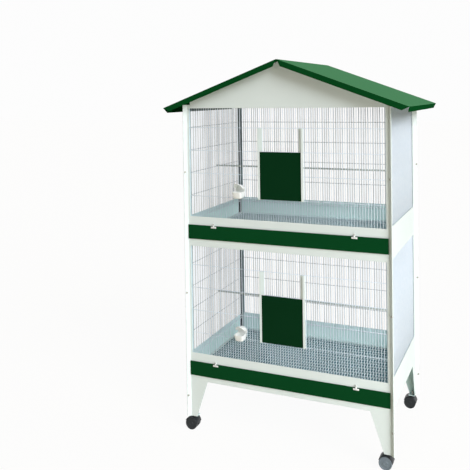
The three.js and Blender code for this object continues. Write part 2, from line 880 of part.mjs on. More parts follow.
// Assembly of one storey's door, drawer, grate, perch and feeder, in the front wall's frame
function storeyFittings(name, storey) {
  const group = new THREE.Group();
  group.position.y = -sideHalf;
  const base = windowBase(storey);

  const door = part(`door_${name}`, doorPanel(), greenEnamel());
  door.position.set(hatchCentre, 0, base + doorSill);
  group.add(door);
  [-1, 1].forEach((side) => {
    const label = side < 0 ? 'left' : 'right';
    const guide = part(`door_guide_${label}_${name}`, guideChannel(side), whiteEnamel());
    guide.position.set(hatchCentre, 0, base + doorSill);
    group.add(guide);
  });

  const front = part(`drawer_front_${name}`, drawerFront(), greenEnamel());
  front.position.z = drawerBase(storey);
  const drawerTray = part(`drawer_tray_${name}`, tray(), zincSheet());
  drawerTray.position.z = trayBottom(storey);
  group.add(front, drawerTray);
  [-1, 1].forEach((side) => {
    const label = side < 0 ? 'left' : 'right';
    const clip = part(`latch_${label}_${name}`, latch(), whitePlastic());
    const height = drawerFrontHeight - latchFootDrop - latchFootHeight / 2;
    clip.position.set(latchPlace(side), 0, drawerBase(storey) + height);
    group.add(clip);
  });

  const floor = part(`floor_grate_${name}`, grate(), zincSheet());
  floor.position.set(0, sideHalf, grateBottom(storey));
  const rod = part(`perch_${name}`, perch(), perchPlastic());
  rod.position.set(0, perchDepth, base + perchRise);
  const cup = part(`feeder_${name}`, feeder(), whitePlastic());
  cup.position.set(feederGapIndex * wirePitch, 0, base + firstCrossWire + wireThickness);
  group.add(floor, rod, cup);
  return group;
}

function roof() {
  const group = new THREE.Group();
  group.position.y = (roofBackOverhang - roofFrontOverhang) / 2;
  [['right', 0], ['left', Math.PI]].forEach(([label, turn]) => {
    const side = new THREE.Group();
    side.rotation.z = turn;
    const slope = part(`roof_slope_${label}`, roofSlope(), greenEnamel());
    slope.position.z = ridgeHeight;
    slope.rotation.y = roofPitch;
    side.add(slope);
    group.add(side);
  });
  group.add(part('ridge_strip', ridgeStrip(), greenEnamel()));
  return group;
}

// The roof reaches further back than forward, so the cage stands forward of the box's centre
const aviary = new THREE.Group();
aviary.position.y = (roofFrontOverhang - roofBackOverhang) / 2;
aviary.add(frontWall(), backWall(), sideWall('right', 1), sideWall('left', -1), roof());
storeyNames.forEach((name, storey) => aviary.add(storeyFittings(name, storey)));

export default aviary;
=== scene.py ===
import math

import bpy
from mathutils import Matrix, Vector


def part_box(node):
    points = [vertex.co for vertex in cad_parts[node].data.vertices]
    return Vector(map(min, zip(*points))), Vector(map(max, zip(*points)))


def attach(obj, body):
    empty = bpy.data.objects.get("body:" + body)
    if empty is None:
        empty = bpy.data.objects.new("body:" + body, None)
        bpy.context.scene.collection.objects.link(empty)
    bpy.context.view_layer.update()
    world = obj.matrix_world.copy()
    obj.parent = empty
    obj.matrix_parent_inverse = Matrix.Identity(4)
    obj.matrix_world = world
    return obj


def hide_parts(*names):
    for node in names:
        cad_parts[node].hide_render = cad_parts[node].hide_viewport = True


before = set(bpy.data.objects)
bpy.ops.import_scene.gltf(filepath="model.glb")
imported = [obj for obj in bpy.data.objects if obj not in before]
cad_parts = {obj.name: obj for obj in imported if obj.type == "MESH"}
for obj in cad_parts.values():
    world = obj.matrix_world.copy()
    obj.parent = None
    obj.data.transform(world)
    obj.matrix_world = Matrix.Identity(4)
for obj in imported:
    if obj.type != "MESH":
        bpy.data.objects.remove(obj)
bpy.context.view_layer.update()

# Camera
# The photographer stood in front and to the right, at about shoulder height, and framed the
# aviary low in the picture, so the lens is shifted down instead of the camera being tipped.
MM = 0.001
PHOTO_PIXELS = 470
FOCAL_PIXELS = 675.3
HORIZON_PIXELS = 127.2
SENSOR_WIDTH = 36.0
CAMERA_PLACE = (874.5, -2687.7, 1347.6)
CAMERA_YAW = 23.94
CAMERA_PITCH = -1.10
CAMERA_ROLL = -0.84
CAMERA_REACH = 100.0

camera_data = bpy.data.cameras.new("camera")
camera_data.sensor_width = SENSOR_WIDTH
camera_data.lens = FOCAL_PIXELS * SENSOR_WIDTH / PHOTO_PIXELS
camera_data.shift_y = -HORIZON_PIXELS / PHOTO_PIXELS
camera_data.clip_end = CAMERA_REACH
camera = bpy.data.objects.new("camera", camera_data)
camera.matrix_world = (
    Matrix.Translation(Vector(CAMERA_PLACE) * MM)
    @ Matrix.Rotation(math.radians(CAMERA_YAW), 4, "Z")
    @ Matrix.Rotation(math.radians(90 + CAMERA_PITCH), 4, "X")
    @ Matrix.Rotation(math.radians(CAMERA_ROLL), 4, "Z")
)
bpy.context.scene.collection.objects.link(camera)
bpy.context.scene.camera = camera
bpy.context.scene.view_settings.view_transform = "Standard"

# Studio
# A white room with one broad lamp on the right, which grazes the front and leaves whatever faces
# left in soft shade, a weaker one from straight above, and a low soft box near the right corner
# that lifts the front towards its foot. The room's own places and sizes are in metres.
ROOM_LIGHT = 0.125
ROOM_TINT = "FFF0D8"
ROOM_WHITE = 0.98
KEY_STRENGTH = 2.92
KEY_TINT = "F8FAFF"
KEY_AZIMUTH = 59.0
KEY_ELEVATION = 27.0
KEY_SOFTNESS = 35.0
TOP_STRENGTH = 0.3
TOP_ELEVATION = 90.0
TOP_SOFTNESS = 60.0
FILL_POWER = 9.0
FILL_SIZE = 0.7
FILL_PLACE = (1.45, -1.3, 0.3)
FILL_AIM = (0.1, -0.3, 0.55)
FLOOR_SIZE = 60.0
FLOOR_SHADE_SHARE = 0.045
FLOOR_TINT = "F4EAD2"
WHITE = "FFFFFF"


def linear(code):
    """An sRGB hex colour as the linear colour that a shader takes."""
    parts = [int(code[i : i + 2], 16) / 255 for i in (0, 2, 4)]
    return [p / 12.92 if p <= 0.04045 else ((p + 0.055) / 1.055) ** 2.4 for p in parts] + [1.0]


def connect(tree, node, inputs):
    """Fills inputs, each with a value, with an output or with the first output of a node."""
    for key, value in inputs.items():
        if isinstance(value, bpy.types.Node):
            value = value.outputs[0]
        if isinstance(value, bpy.types.NodeSocket):
            tree.links.new(value, node.inputs[key])
        else:
            node.inputs[key].default_value = value


def add_node(tree, kind, inputs, **settings):
    """One node with its settings, its values and its links."""
    node = tree.nodes.new(kind)
    for key, value in settings.items():
        setattr(node, key, value)
    connect(tree, node, inputs)
    return node


def seen_or_mirrored(tree):
    """One for rays from the camera and for those that gloss or glass sends on, else zero."""
    path = add_node(tree, "ShaderNodeLightPath", {}).outputs
    direct = {0: path["Is Camera Ray"], 1: path["Is Glossy Ray"]}
    seen = add_node(tree, "ShaderNodeMath", direct, operation="MAXIMUM")
    passed = {0: seen, 1: path["Is Transmission Ray"]}
    return add_node(tree, "ShaderNodeMath", passed, operation="MAXIMUM")


world = bpy.data.worlds.new("white_room")
world.use_nodes = True
bpy.context.scene.world = world
tree = world.node_tree
tree.nodes.clear()
dim = {"Color": linear(ROOM_TINT), "Strength": ROOM_LIGHT}
bright = {"Color": linear(WHITE), "Strength": ROOM_WHITE}
lamp = add_node(tree, "ShaderNodeBackground", dim)
wall = add_node(tree, "ShaderNodeBackground", bright)
room = add_node(tree, "ShaderNodeMixShader", {0: seen_or_mirrored(tree), 1: lamp, 2: wall})
add_node(tree, "ShaderNodeOutputWorld", {"Surface": room})


def add_sun(name, strength, tint, softness, azimuth, elevation):
    """A distant lamp; azimuth turns from the front towards the right."""
    lamp_data = bpy.data.lights.new(name, "SUN")
    lamp_data.energy = strength
    lamp_data.color = linear(tint)[:3]
    lamp_data.angle = math.radians(softness)
    sun = bpy.data.objects.new(name, lamp_data)
    sun.rotation_euler = (math.radians(90 - elevation), 0, math.radians(azimuth))
    bpy.context.scene.collection.objects.link(sun)


add_sun("key_lamp", KEY_STRENGTH, KEY_TINT, KEY_SOFTNESS, KEY_AZIMUTH, KEY_ELEVATION)
add_sun("top_lamp", TOP_STRENGTH, KEY_TINT, TOP_SOFTNESS, 0.0, TOP_ELEVATION)

soft_box = bpy.data.lights.new("soft_box", "AREA")
soft_box.energy = FILL_POWER
soft_box.size = FILL_SIZE
soft_box.color = linear(KEY_TINT)[:3]
fill = bpy.data.objects.new("soft_box", soft_box)
fill.location = FILL_PLACE
fill.rotation_euler = (Vector(FILL_AIM) - Vector(FILL_PLACE)).to_track_quat("-Z", "Y").to_euler()
fill.visible_camera = False
bpy.context.scene.collection.objects.link(fill)

bpy.ops.object.select_all(action="DESELECT")
bpy.ops.mesh.primitive_plane_add(size=FLOOR_SIZE)
floor = bpy.context.object
floor.name = "studio_floor"

# Matt paper, plain white where it is seen but for a trace of the shadow that falls on it.
paper = bpy.data.materials.new("white_paper_floor")
paper.use_nodes = True
tree = paper.node_tree
tree.nodes.clear()
shade = add_node(tree, "ShaderNodeBsdfDiffuse", {"Color": linear(FLOOR_TINT)})
glow = add_node(tree, "ShaderNodeEmission", {"Color": linear(WHITE), "Strength": 1.0})
lit = {0: seen_or_mirrored(tree), 1: 1 - FLOOR_SHADE_SHARE}
share = add_node(tree, "ShaderNodeMath", lit, operation="MULTIPLY")
mixed = add_node(tree, "ShaderNodeMixShader", {0: share, 1: shade, 2: glow})
add_node(tree, "ShaderNodeOutputMaterial", {"Surface": mixed})
floor.data.materials.append(paper)

# Wall frames and gables
# Each wall is one folded steel sheet with its posts, legs and rails, cut out for the windows,
# and its gable is a second sheet. All are powder coated white, greyer where hands and floor touch
# them. Inside the cage the walls carry a paler, cooler painted light, and the side walls' rear
# posts carry a dark painted shade on their inner faces.
WHITE_COAT = {"fresh": "E8F2F0", "dulled": "E0EBE8", "scuffed": "C6C9C5"}
# Painted light on the walls' inner side, and painted shade on the side walls' rear posts inside.
INNER_PAINTED_LIGHT = "E4FFFE"
CORNER_PAINTED_SHADE = "2C363C"
COAT_ROUGHNESS = 0.45
COAT_GLOSS = 0.2
COAT_RIPPLE = 5.0
RIPPLE_STRENGTH = 0.12
RIPPLE_DEPTH = 0.3
COAT_CLOUD = 260.0
NOISE_LOW = 0.3
NOISE_HIGH = 0.7
CLOUD_POLISH = 0.05
CLOUD_DULLNESS = 0.06
SCUFF_SPOT = 9.0
SCUFF_START = 0.66
SCUFF_FULL = 0.8
SCUFF_SHARE = 0.6
FOOT_GRIME_TOP = 130.0
FOOT_GRIME_SHARE = 0.09
INSIDE_LIMIT = -0.15
REAR_POST = 209.0
SQUARE_LIMIT = 0.9
UPWARD_LIMIT = 0.5
# Share of the painted light on faces turned up.
TOP_LIGHT_SHARE = 0.9
FOLD_ROUND = 0.35
FOLD_TURN = 40
FOLD_STEPS = 2
WELD_REACH = 0.01


def new_finish(name):
    """A material with its node tree, its shader and the place on the object itself."""
    finish = bpy.data.materials.new(name)
    finish.use_nodes = True
    tree = finish.node_tree
    place = add_node(tree, "ShaderNodeTexCoord", {}).outputs["Object"]
    return finish, tree, tree.nodes["Principled BSDF"], place


def paint_inner_light_and_corner_shade(tree, colour, inner, corner_shade):
    """Paints a paler, cooler light on a wall's inner side, and a dark shade on a side wall's rear
    post inside.
    """
    spot = add_node(tree, "ShaderNodeTexCoord", {}).outputs
    place = add_node(tree, "ShaderNodeSeparateXYZ", {"Vector": spot["Object"]}).outputs
    normal = add_node(tree, "ShaderNodeSeparateXYZ", {"Vector": spot["Normal"]}).outputs
    sheet = {0: spot["Object"], 1: (1.0, 1.0, 0.0)}
    level = add_node(tree, "ShaderNodeVectorMath", sheet, operation="MULTIPLY")
    sides = {0: level, 1: spot["Normal"]}
    outward = add_node(tree, "ShaderNodeVectorMath", sides, operation="DOT_PRODUCT")
    turned = {0: outward.outputs["Value"], 1: INSIDE_LIMIT}
    inside = add_node(tree, "ShaderNodeMath", turned, operation="LESS_THAN")
    depth = {0: place["Y"], 1: REAR_POST * MM}
    rear = add_node(tree, "ShaderNodeMath", depth, operation="GREATER_THAN")
    sideways = add_node(tree, "ShaderNodeMath", {0: normal["X"]}, operation="ABSOLUTE")
    square = {0: sideways, 1: SQUARE_LIMIT}
    across = add_node(tree, "ShaderNodeMath", square, operation="GREATER_THAN")
    corner = add_node(tree, "ShaderNodeMath", {0: inside, 1: rear}, operation="MULTIPLY")
    # The mask of the painted shade on the side walls' rear posts.
    post = add_node(tree, "ShaderNodeMath", {0: corner, 1: across}, operation="MULTIPLY")
    tones = {"Factor": inside, "A": colour, "B": linear(inner)}
    inner_lit = add_node(tree, "ShaderNodeMix", tones, data_type="RGBA").outputs["Result"]
    tones = {"Factor": post, "A": inner_lit, "B": linear(corner_shade)}
    return add_node(tree, "ShaderNodeMix", tones, data_type="RGBA").outputs["Result"]


def paint_lit_top(tree, colour, lit_tone):
    """Paints a paler tone as light on what faces up."""
    normal = add_node(tree, "ShaderNodeTexCoord", {}).outputs["Normal"]
    rise = add_node(tree, "ShaderNodeSeparateXYZ", {"Vector": normal}).outputs["Z"]
    upward = {0: rise, 1: UPWARD_LIMIT}
    top = add_node(tree, "ShaderNodeMath", upward, operation="GREATER_THAN")
    share = add_node(tree, "ShaderNodeMath", {0: top, 1: TOP_LIGHT_SHARE}, operation="MULTIPLY")
    tones = {"Factor": share, "A": colour, "B": linear(lit_tone)}
    return add_node(tree, "ShaderNodeMix", tones, data_type="RGBA").outputs["Result"]


def coated_sheet(name, colours, roughness, specular):
    """Powder coat or enamel on sheet; its ripple is drawn coarser than life so that it shows."""
    coat, tree, shader, place = new_finish(name)
    clouds = {"Vector": place, "Scale": 1 / (COAT_CLOUD * MM)}
    cloud = add_node(tree, "ShaderNodeTexNoise", clouds)
    tones = {"Factor": cloud, "A": linear(colours["fresh"]), "B": linear(colours["dulled"])}
    even = add_node(tree, "ShaderNodeMix", tones, data_type="RGBA").outputs["Result"]
    marks = {"Vector": place, "Scale": 1 / (SCUFF_SPOT * MM), "Detail": 6.0, "Roughness": 0.7}
    spots = add_node(tree, "ShaderNodeTexNoise", marks)
    foot = {
        "Value": add_node(tree, "ShaderNodeSeparateXYZ", {"Vector": place}).outputs["Z"],
        "From Max": FOOT_GRIME_TOP * MM,
        "To Min": FOOT_GRIME_SHARE,
        "To Max": 0.0,
    }
    grime = add_node(tree, "ShaderNodeMapRange", foot)
    wear = {
        "Value": add_node(tree, "ShaderNodeMath", {0: spots, 1: grime}, operation="ADD"),
        "From Min": SCUFF_START,
        "From Max": SCUFF_FULL,
        "To Max": SCUFF_SHARE,
    }
    scuffs = add_node(tree, "ShaderNodeMapRange", wear)
    tones = {"Factor": scuffs, "A": even, "B": linear(colours["scuffed"])}
    tone = add_node(tree, "ShaderNodeMix", tones, data_type="RGBA").outputs["Result"]
    # The walls' painted inner light and rear-post painted shade.
    if "inner" in colours:
        tone = paint_inner_light_and_corner_shade(tree, tone, colours["inner"], colours["corner_shade"])
    # Painted light on what faces up.
    if "top" in colours:
        tone = paint_lit_top(tree, tone, colours["top"])
    satin = {
        "Value": cloud,
        "From Min": NOISE_LOW,
        "From Max": NOISE_HIGH,
        "To Min": roughness - CLOUD_POLISH,
        "To Max": roughness + CLOUD_DULLNESS,
    }
    waves = {"Vector": place, "Scale": 1 / (COAT_RIPPLE * MM), "Detail": 1.0}
    ripple = {
        "Height": add_node(tree, "ShaderNodeTexNoise", waves),
        "Strength": RIPPLE_STRENGTH,
        "Distance": RIPPLE_DEPTH * MM,
    }
    finish = {
        "Specular IOR Level": specular,
        "Base Color": tone,
        "Roughness": add_node(tree, "ShaderNodeMapRange", satin),
        "Normal": add_node(tree, "ShaderNodeBump", ripple),
    }
    connect(tree, shader, finish)
    return coat


def dress(node, finish, round_width=FOLD_ROUND):
    """Gives a CAD node its finish, and eases its sharp edges as a sheet's folds and cuts are."""
    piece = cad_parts[node]
    piece.data.materials.clear()
    piece.data.materials.append(finish)
    weld = piece.modifiers.new("weld", "WELD")
    weld.merge_threshold = WELD_REACH * MM
    ease = piece.modifiers.new("ease", "BEVEL")
    ease.width = round_width * MM
    ease.segments = FOLD_STEPS
    ease.limit_method = "ANGLE"
    ease.angle_limit = math.radians(FOLD_TURN)
    ease.use_clamp_overlap = True


# Powder coat gives the steel an even satin white with a slight ripple and soft clouds.
white_coat = coated_sheet("white_powder_coat_on_steel", WHITE_COAT, COAT_ROUGHNESS, COAT_GLOSS)
# The walls' coat also carries the painted light inside the cage and the painted shade in its rear
# corners.
wall_coat = coated_sheet(
    "white_powder_coat_on_walls_with_painted_light",
    {**WHITE_COAT, "inner": INNER_PAINTED_LIGHT, "corner_shade": CORNER_PAINTED_SHADE},
    COAT_ROUGHNESS,
    COAT_GLOSS,
)
for side in ("front", "back", "left", "right"):
    dress(f"frame_{side}", wall_coat)
dress("gable_front", white_coat)
dress("gable_back", white_coat)

# Corner screws
# Three to a corner, where two walls' wings meet: a round head with a cross slot on the face
# turned to the front, and a hexagon nut behind. Both are of steel, headed cold and zinc plated.
ZINC = ("94938A", "BDBCB2")
ZINC_METALLIC = 0.7
ZINC_ROUGHNESS = (0.35, 0.55)
ZINC_BLOOM = 1.11
SCREW_HEAD_RADIUS = 4.0
SCREW_HEAD_HEIGHT = 1.5
SCREW_HEAD_SHOULDER = 0.8
SCREW_HEAD_LIFT = 0.2
SCREW_HEAD_SIDES = 20
SCREW_CROWN_RIM = 0.9
SCREW_CROWN_LIFT = 0.1
SCREW_GRIP = 3.9
SCREW_NUT_RADIUS = 3.9
SCREW_NUT_HEIGHT = 1.5
SCREW_NUT_ROUND = 0.25
SCREW_NUT_SIDES = 6
SCREW_SHANK_RADIUS = 1.9
SCREW_SHANK_SINK = 0.2
SCREW_SHANK_SIDES = 12
SCREW_SLOT_WIDTH = 0.9
SCREW_SLOT_LENGTH = 4.2
SCREW_SLOT_DEPTH = 1.4

# Zinc plate gives the screws a dull grey gleam with faint blooms.
plated_steel, tree, shader, place = new_finish("zinc_plated_screw_steel")
blooms = {"Vector": place, "Scale": 1 / (ZINC_BLOOM * MM), "Detail": 3.0}
bloom = add_node(tree, "ShaderNodeTexNoise", blooms)
tones = {"Factor": bloom, "A": linear(ZINC[0]), "B": linear(ZINC[1])}
gleam = {
    "Value": bloom,
    "From Min": NOISE_LOW,
    "From Max": NOISE_HIGH,
    "To Min": ZINC_ROUGHNESS[0],
    "To Max": ZINC_ROUGHNESS[1],
}
finish = {
    "Metallic": ZINC_METALLIC,
    "Base Color": add_node(tree, "ShaderNodeMix", tones, data_type="RGBA").outputs["Result"],
    "Roughness": add_node(tree, "ShaderNodeMapRange", gleam),
}
connect(tree, shader, finish)


def select_only(*pieces):
    """Selects just these pieces, the first of them active."""
    bpy.ops.object.select_all(action="DESELECT")
    for piece in pieces:
        piece.select_set(True)
    bpy.context.view_layer.objects.active = pieces[0]


def put_down(piece):
    """Works a new piece's place and turn into its mesh, so that its object sits at the origin."""
    select_only(piece)
    bpy.ops.object.transform_apply(location=True, rotation=True, scale=True)
    return piece


def pick_faces(piece, wanted):
    """Opens a piece for editing with only the wanted faces selected."""
    bpy.context.view_layer.objects.active = piece
    bpy.ops.object.mode_set(mode="EDIT")
    bpy.ops.mesh.select_mode(type="FACE")
    bpy.ops.mesh.select_all(action="DESELECT")
    bpy.ops.object.mode_set(mode="OBJECT")
    for face in piece.data.polygons:
        face.select = wanted(face)
    bpy.ops.object.mode_set(mode="EDIT")


def facing(*direction):
    """A test for faces that look one way."""
    return lambda face: face.normal.dot(Vector(direction)) > SQUARE_LIMIT


def bar_end(face):
    """Whether a face is a round bar's flat end, the only kind with more than four corners."""
    return len(face.vertices) > 4


def done_editing():
    """Closes edit mode."""
    bpy.ops.object.mode_set(mode="OBJECT")


def round_bar(radius, start, end, sides):
    """A bar between two points in millimetres."""
    start, end = Vector(start) * MM, Vector(end) * MM
    bpy.ops.object.select_all(action="DESELECT")
    bpy.ops.mesh.primitive_cylinder_add(
        vertices=sides,
        radius=radius * MM,
        depth=(end - start).length,
        location=(start + end) / 2,
        rotation=(end - start).to_track_quat("Z", "Y").to_euler(),
    )
    return put_down(bpy.context.object)


def block(size, middle, turn=0.0):
    """A box of a size about a point, both in millimetres, turned about the Y axis."""
    bpy.ops.object.select_all(action="DESELECT")
    bpy.ops.mesh.primitive_cube_add(
        size=1,
        location=Vector(middle) * MM,
        rotation=(0, turn, 0),
        scale=Vector(size) * MM,
    )
    return put_down(bpy.context.object)


def join(pieces):
    """Makes one piece of several."""
    select_only(*pieces)
    bpy.ops.object.join()
    return bpy.context.object


def modify(piece, kind, **settings):
    """Adds a modifier with its settings and applies it."""
    select_only(piece)
    modifier = piece.modifiers.new("shape", kind)
    for key, value in settings.items():
        setattr(modifier, key, value)
    bpy.ops.object.modifier_apply(modifier="shape")
    return piece


def round_edges(piece, width, steps, turn=FOLD_TURN):
    """Rounds the edges that turn by more than an angle; the width is in millimetres."""
    sharp = {"limit_method": "ANGLE", "angle_limit": math.radians(turn)}
    return modify(piece, "BEVEL", width=width * MM, segments=steps, **sharp)


def copy_at(piece, matrix):
    """A copy with a mesh of its own, moved by a matrix."""
    twin = piece.copy()
    twin.data = piece.data.copy()
    bpy.context.scene.collection.objects.link(twin)
    twin.matrix_world = matrix
    return put_down(twin)


def finish_with(piece, material):
    """Makes a material a piece's only one."""
    piece.data.materials.clear()
    piece.data.materials.append(material)
    return piece


def smooth(piece, degrees=35):
    """Smooth shading up to an angle."""
    select_only(piece)
    bpy.ops.object.shade_smooth_by_angle(angle=math.radians(degrees))
    return piece


def hand_over(piece, name, body, slot, *nodes):
    """Names a finished piece, lets it ride on its body and stand for its CAD nodes."""
    piece.name = name
    piece.data.name = name
    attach(piece, body)
    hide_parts(*nodes)


grip = SCREW_GRIP / 2
head_top = grip + SCREW_HEAD_HEIGHT
nut_top = grip + SCREW_NUT_HEIGHT
head = round_bar(SCREW_HEAD_RADIUS, (0, -grip, 0), (0, -head_top, 0), SCREW_HEAD_SIDES)
pick_faces(head, facing(0, -1, 0))
bpy.ops.mesh.inset(thickness=SCREW_HEAD_SHOULDER * MM, depth=0.0)
bpy.ops.transform.translate(value=(0, -SCREW_HEAD_LIFT * MM, 0))
bpy.ops.mesh.inset(thickness=SCREW_CROWN_RIM * MM, depth=SCREW_CROWN_LIFT * MM)
done_editing()
slot_size = (SCREW_SLOT_LENGTH, SCREW_SLOT_DEPTH, SCREW_SLOT_WIDTH)
for turn in (0, math.pi / 2):
    slot = block(slot_size, (0, -head_top, 0), turn)
    modify(head, "BOOLEAN", operation="DIFFERENCE", object=slot, solver="EXACT")
    bpy.data.objects.remove(slot)
sunk = grip + SCREW_SHANK_SINK
shank = round_bar(SCREW_SHANK_RADIUS, (0, -sunk, 0), (0, sunk, 0), SCREW_SHANK_SIDES)
nut = round_bar(SCREW_NUT_RADIUS, (0, grip, 0), (0, nut_top, 0), SCREW_NUT_SIDES)
modify(nut, "BEVEL", width=SCREW_NUT_ROUND * MM, segments=2)
screw = finish_with(smooth(join([head, shank, nut])), plated_steel)
for wall, way in (("front", -1), ("back", 1)):
    for corner in ("a", "b"):
        for level in ("low", "middle", "high"):
            node = f"corner_screw_{wall}_{corner}_{level}"
            low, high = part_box(node)
            middle = (low + high) / 2
            side = 1 if middle.x > 0 else -1
            turn = Matrix.Rotation(side * way * math.pi / 4, 4, "Z")
            twin = copy_at(screw, Matrix.Translation(middle) @ turn)
            hand_over(twin, f"screw_{wall}_{corner}_{level}", "cage", "screw_steel", node)
bpy.data.objects.remove(screw)

# Wire panels
# Welded panels of round 2 mm wire behind the windows: uprights 10.4 mm apart, with cross wires
# welded behind them. They are dipped in the same white, which reads cooler on thin wire; the
# left and back walls' wires carry a grey painted shade, and their skirts a pale painted light.
FULL_DIP = ("DEECF8", "F0F8FF")
# Grey painted shade for the left and back walls' wires, and pale painted light on their skirts.
PAINTED_SHADE_DIP = ("8C989E", "A2AEB6")
SKIRT_PAINTED_LIGHT = "F0FAFE"
DIP_GLOSS = 0.2
DIP_ROUGHNESS = (0.35, 0.5)
DIP_RUN = 16.7
DIP_LUMP = 2.0
LUMP_STRENGTH = 0.2
LUMP_DEPTH = 0.2
WIRE_RADIUS = 1.0
WIRE_PITCH = 10.4
WIRE_TIP = 0.35
WIRE_SIDES = 8
WIRE_SMOOTH = 50
WELD_SINK = 0.15
PANEL_SKIRT = 20.0
SKIRT_FOOT = 293.0
STOREY_PITCH = 551.0
EDGE_WIRE_INSET = 1.5
FIRST_CROSS_WIRE = 82.0
CROSS_WIRE_PITCH = 91.0
CROSS_WIRES = 4
HATCH_MIDDLE = -5.2
HATCH_GAPS = 14
HATCH_CROSS_WIRES = 2


def dipped_wire(name, tones, skirt_light=None):
    """White dip on wire, uneven where it ran; a panel's skirt may carry a pale painted light."""
    dip, tree, shader, place = new_finish(name)
    streaks = {"Vector": place, "Scale": 1 / (DIP_RUN * MM), "Detail": 4.0}
    runs = add_node(tree, "ShaderNodeTexNoise", streaks)
    shades = {"Factor": runs, "A": linear(tones[0]), "B": linear(tones[1])}
    tone = add_node(tree, "ShaderNodeMix", shades, data_type="RGBA").outputs["Result"]
    # Pale painted light on each storey's skirt.
    if skirt_light:
        height = add_node(tree, "ShaderNodeSeparateXYZ", {"Vector": place}).outputs["Z"]
        above = {0: height, 1: SKIRT_FOOT * MM}
        start = add_node(tree, "ShaderNodeMath", above, operation="SUBTRACT")
        storeys = {0: start, 1: STOREY_PITCH * MM}
        rise = add_node(tree, "ShaderNodeMath", storeys, operation="MODULO")
        low = {0: rise, 1: PANEL_SKIRT * MM}
        skirt = add_node(tree, "ShaderNodeMath", low, operation="LESS_THAN")
        shades = {"Factor": skirt, "A": tone, "B": linear(skirt_light)}
        tone = add_node(tree, "ShaderNodeMix", shades, data_type="RGBA").outputs["Result"]
    satin = {
        "Value": runs,
        "From Min": NOISE_LOW,
        "From Max": NOISE_HIGH,
        "To Min": DIP_ROUGHNESS[0],
        "To Max": DIP_ROUGHNESS[1],
    }
    drops = {"Vector": place, "Scale": 1 / (DIP_LUMP * MM)}
    lumps = {
        "Height": add_node(tree, "ShaderNodeTexNoise", drops),
        "Strength": LUMP_STRENGTH,
        "Distance": LUMP_DEPTH * MM,
    }
    finish = {
        "Specular IOR Level": DIP_GLOSS,
        "Base Color": tone,
        "Roughness": add_node(tree, "ShaderNodeMapRange", satin),
        "Normal": add_node(tree, "ShaderNodeBump", lumps),
    }
    connect(tree, shader, finish)
    return dip


# Dip gives the wire a soft white skin; the second finish paints a grey shade on it, and a pale
# light on the skirts.
white_wire = dipped_wire("white_dipped_steel_wire", FULL_DIP)
shaded_wire = dipped_wire("white_dipped_steel_wire_with_painted_shade", PAINTED_SHADE_DIP, SKIRT_PAINTED_LIGHT)


def wire_row(start, end, step=(0, 0, 0), count=1):
    """A wire between two points with eased tips, repeated at even steps."""
    row = round_bar(WIRE_RADIUS, start, end, WIRE_SIDES)
    pick_faces(row, bar_end)
    bpy.ops.mesh.bevel(offset=WIRE_TIP * MM, segments=1)
    done_editing()
    if count > 1:
        modify(
            row,
            "ARRAY",
            use_relative_offset=False,
            use_constant_offset=True,
            constant_offset_displace=Vector(step) * MM,
            count=count,
        )
    return row


def uprights(start, bottom, top, step, count):
    """Upright wires from a start, at even steps to one side."""
    foot, head = (start, WIRE_RADIUS, bottom), (start, WIRE_RADIUS, top)
    return wire_row(foot, head, (step, 0, 0), count)


def cross_wires(start, end, depth, level, pitch=0.0, count=1):
    """Cross wires from side to side, repeated upwards."""
    return wire_row((start, depth, level), (end, depth, level), (0, 0, pitch), count)


def hatch_rows(half, edge, depth, bottom, top):
    """The uprights and cross wires of a panel that leaves a hatch free for the door."""
    post = HATCH_GAPS / 2 * WIRE_PITCH
    left, right = HATCH_MIDDLE - post, HATCH_MIDDLE + post
    rows = []
    for start, way in ((left, -1), (right, 1)):
        count = math.floor((edge - way * start) / WIRE_PITCH) + 1
        rows.append(uprights(start, bottom, top, way * WIRE_PITCH, count))
    sill = FIRST_CROSS_WIRE
    head = FIRST_CROSS_WIRE + HATCH_CROSS_WIRES * CROSS_WIRE_PITCH
    for low, high in ((bottom, sill + WIRE_RADIUS), (head - WIRE_RADIUS, top)):
        rows.append(uprights(left + WIRE_PITCH, low, high, WIRE_PITCH, HATCH_GAPS - 1))
    for index in range(CROSS_WIRES):
        level = FIRST_CROSS_WIRE + index * CROSS_WIRE_PITCH
        if sill < level < head:
            rows.append(cross_wires(-half, left, depth, level))
            rows.append(cross_wires(right, half, depth, level))
        else:
            rows.append(cross_wires(-half, half, depth, level))
    return rows


def wire_panel(half, height, hatch):
    """A panel in its wall's own frame: outer face at y = 0, window's sill at z = 0."""
    bottom, top = -PANEL_SKIRT, height - PANEL_SKIRT
    edge = half - EDGE_WIRE_INSET
    depth = 3 * WIRE_RADIUS - WELD_SINK
    rim_rise = height - 2 * EDGE_WIRE_INSET
    rows = [
        uprights(-edge, bottom, top, 2 * edge, 2),
        cross_wires(-half, half, depth, bottom + EDGE_WIRE_INSET, rim_rise, 2),
    ]
    if hatch:
        rows += hatch_rows(half, edge, depth, bottom, top)
    else:
        reach = WIRE_PITCH * math.floor((edge - WIRE_PITCH / 2) / WIRE_PITCH)
        count = round(2 * reach / WIRE_PITCH) + 1
        levels = (FIRST_CROSS_WIRE, CROSS_WIRE_PITCH, CROSS_WIRES)
        rows.append(uprights(-reach, bottom, top, WIRE_PITCH, count))
        rows.append(cross_wires(-half, half, depth, *levels))
    return smooth(join(rows), WIRE_SMOOTH)


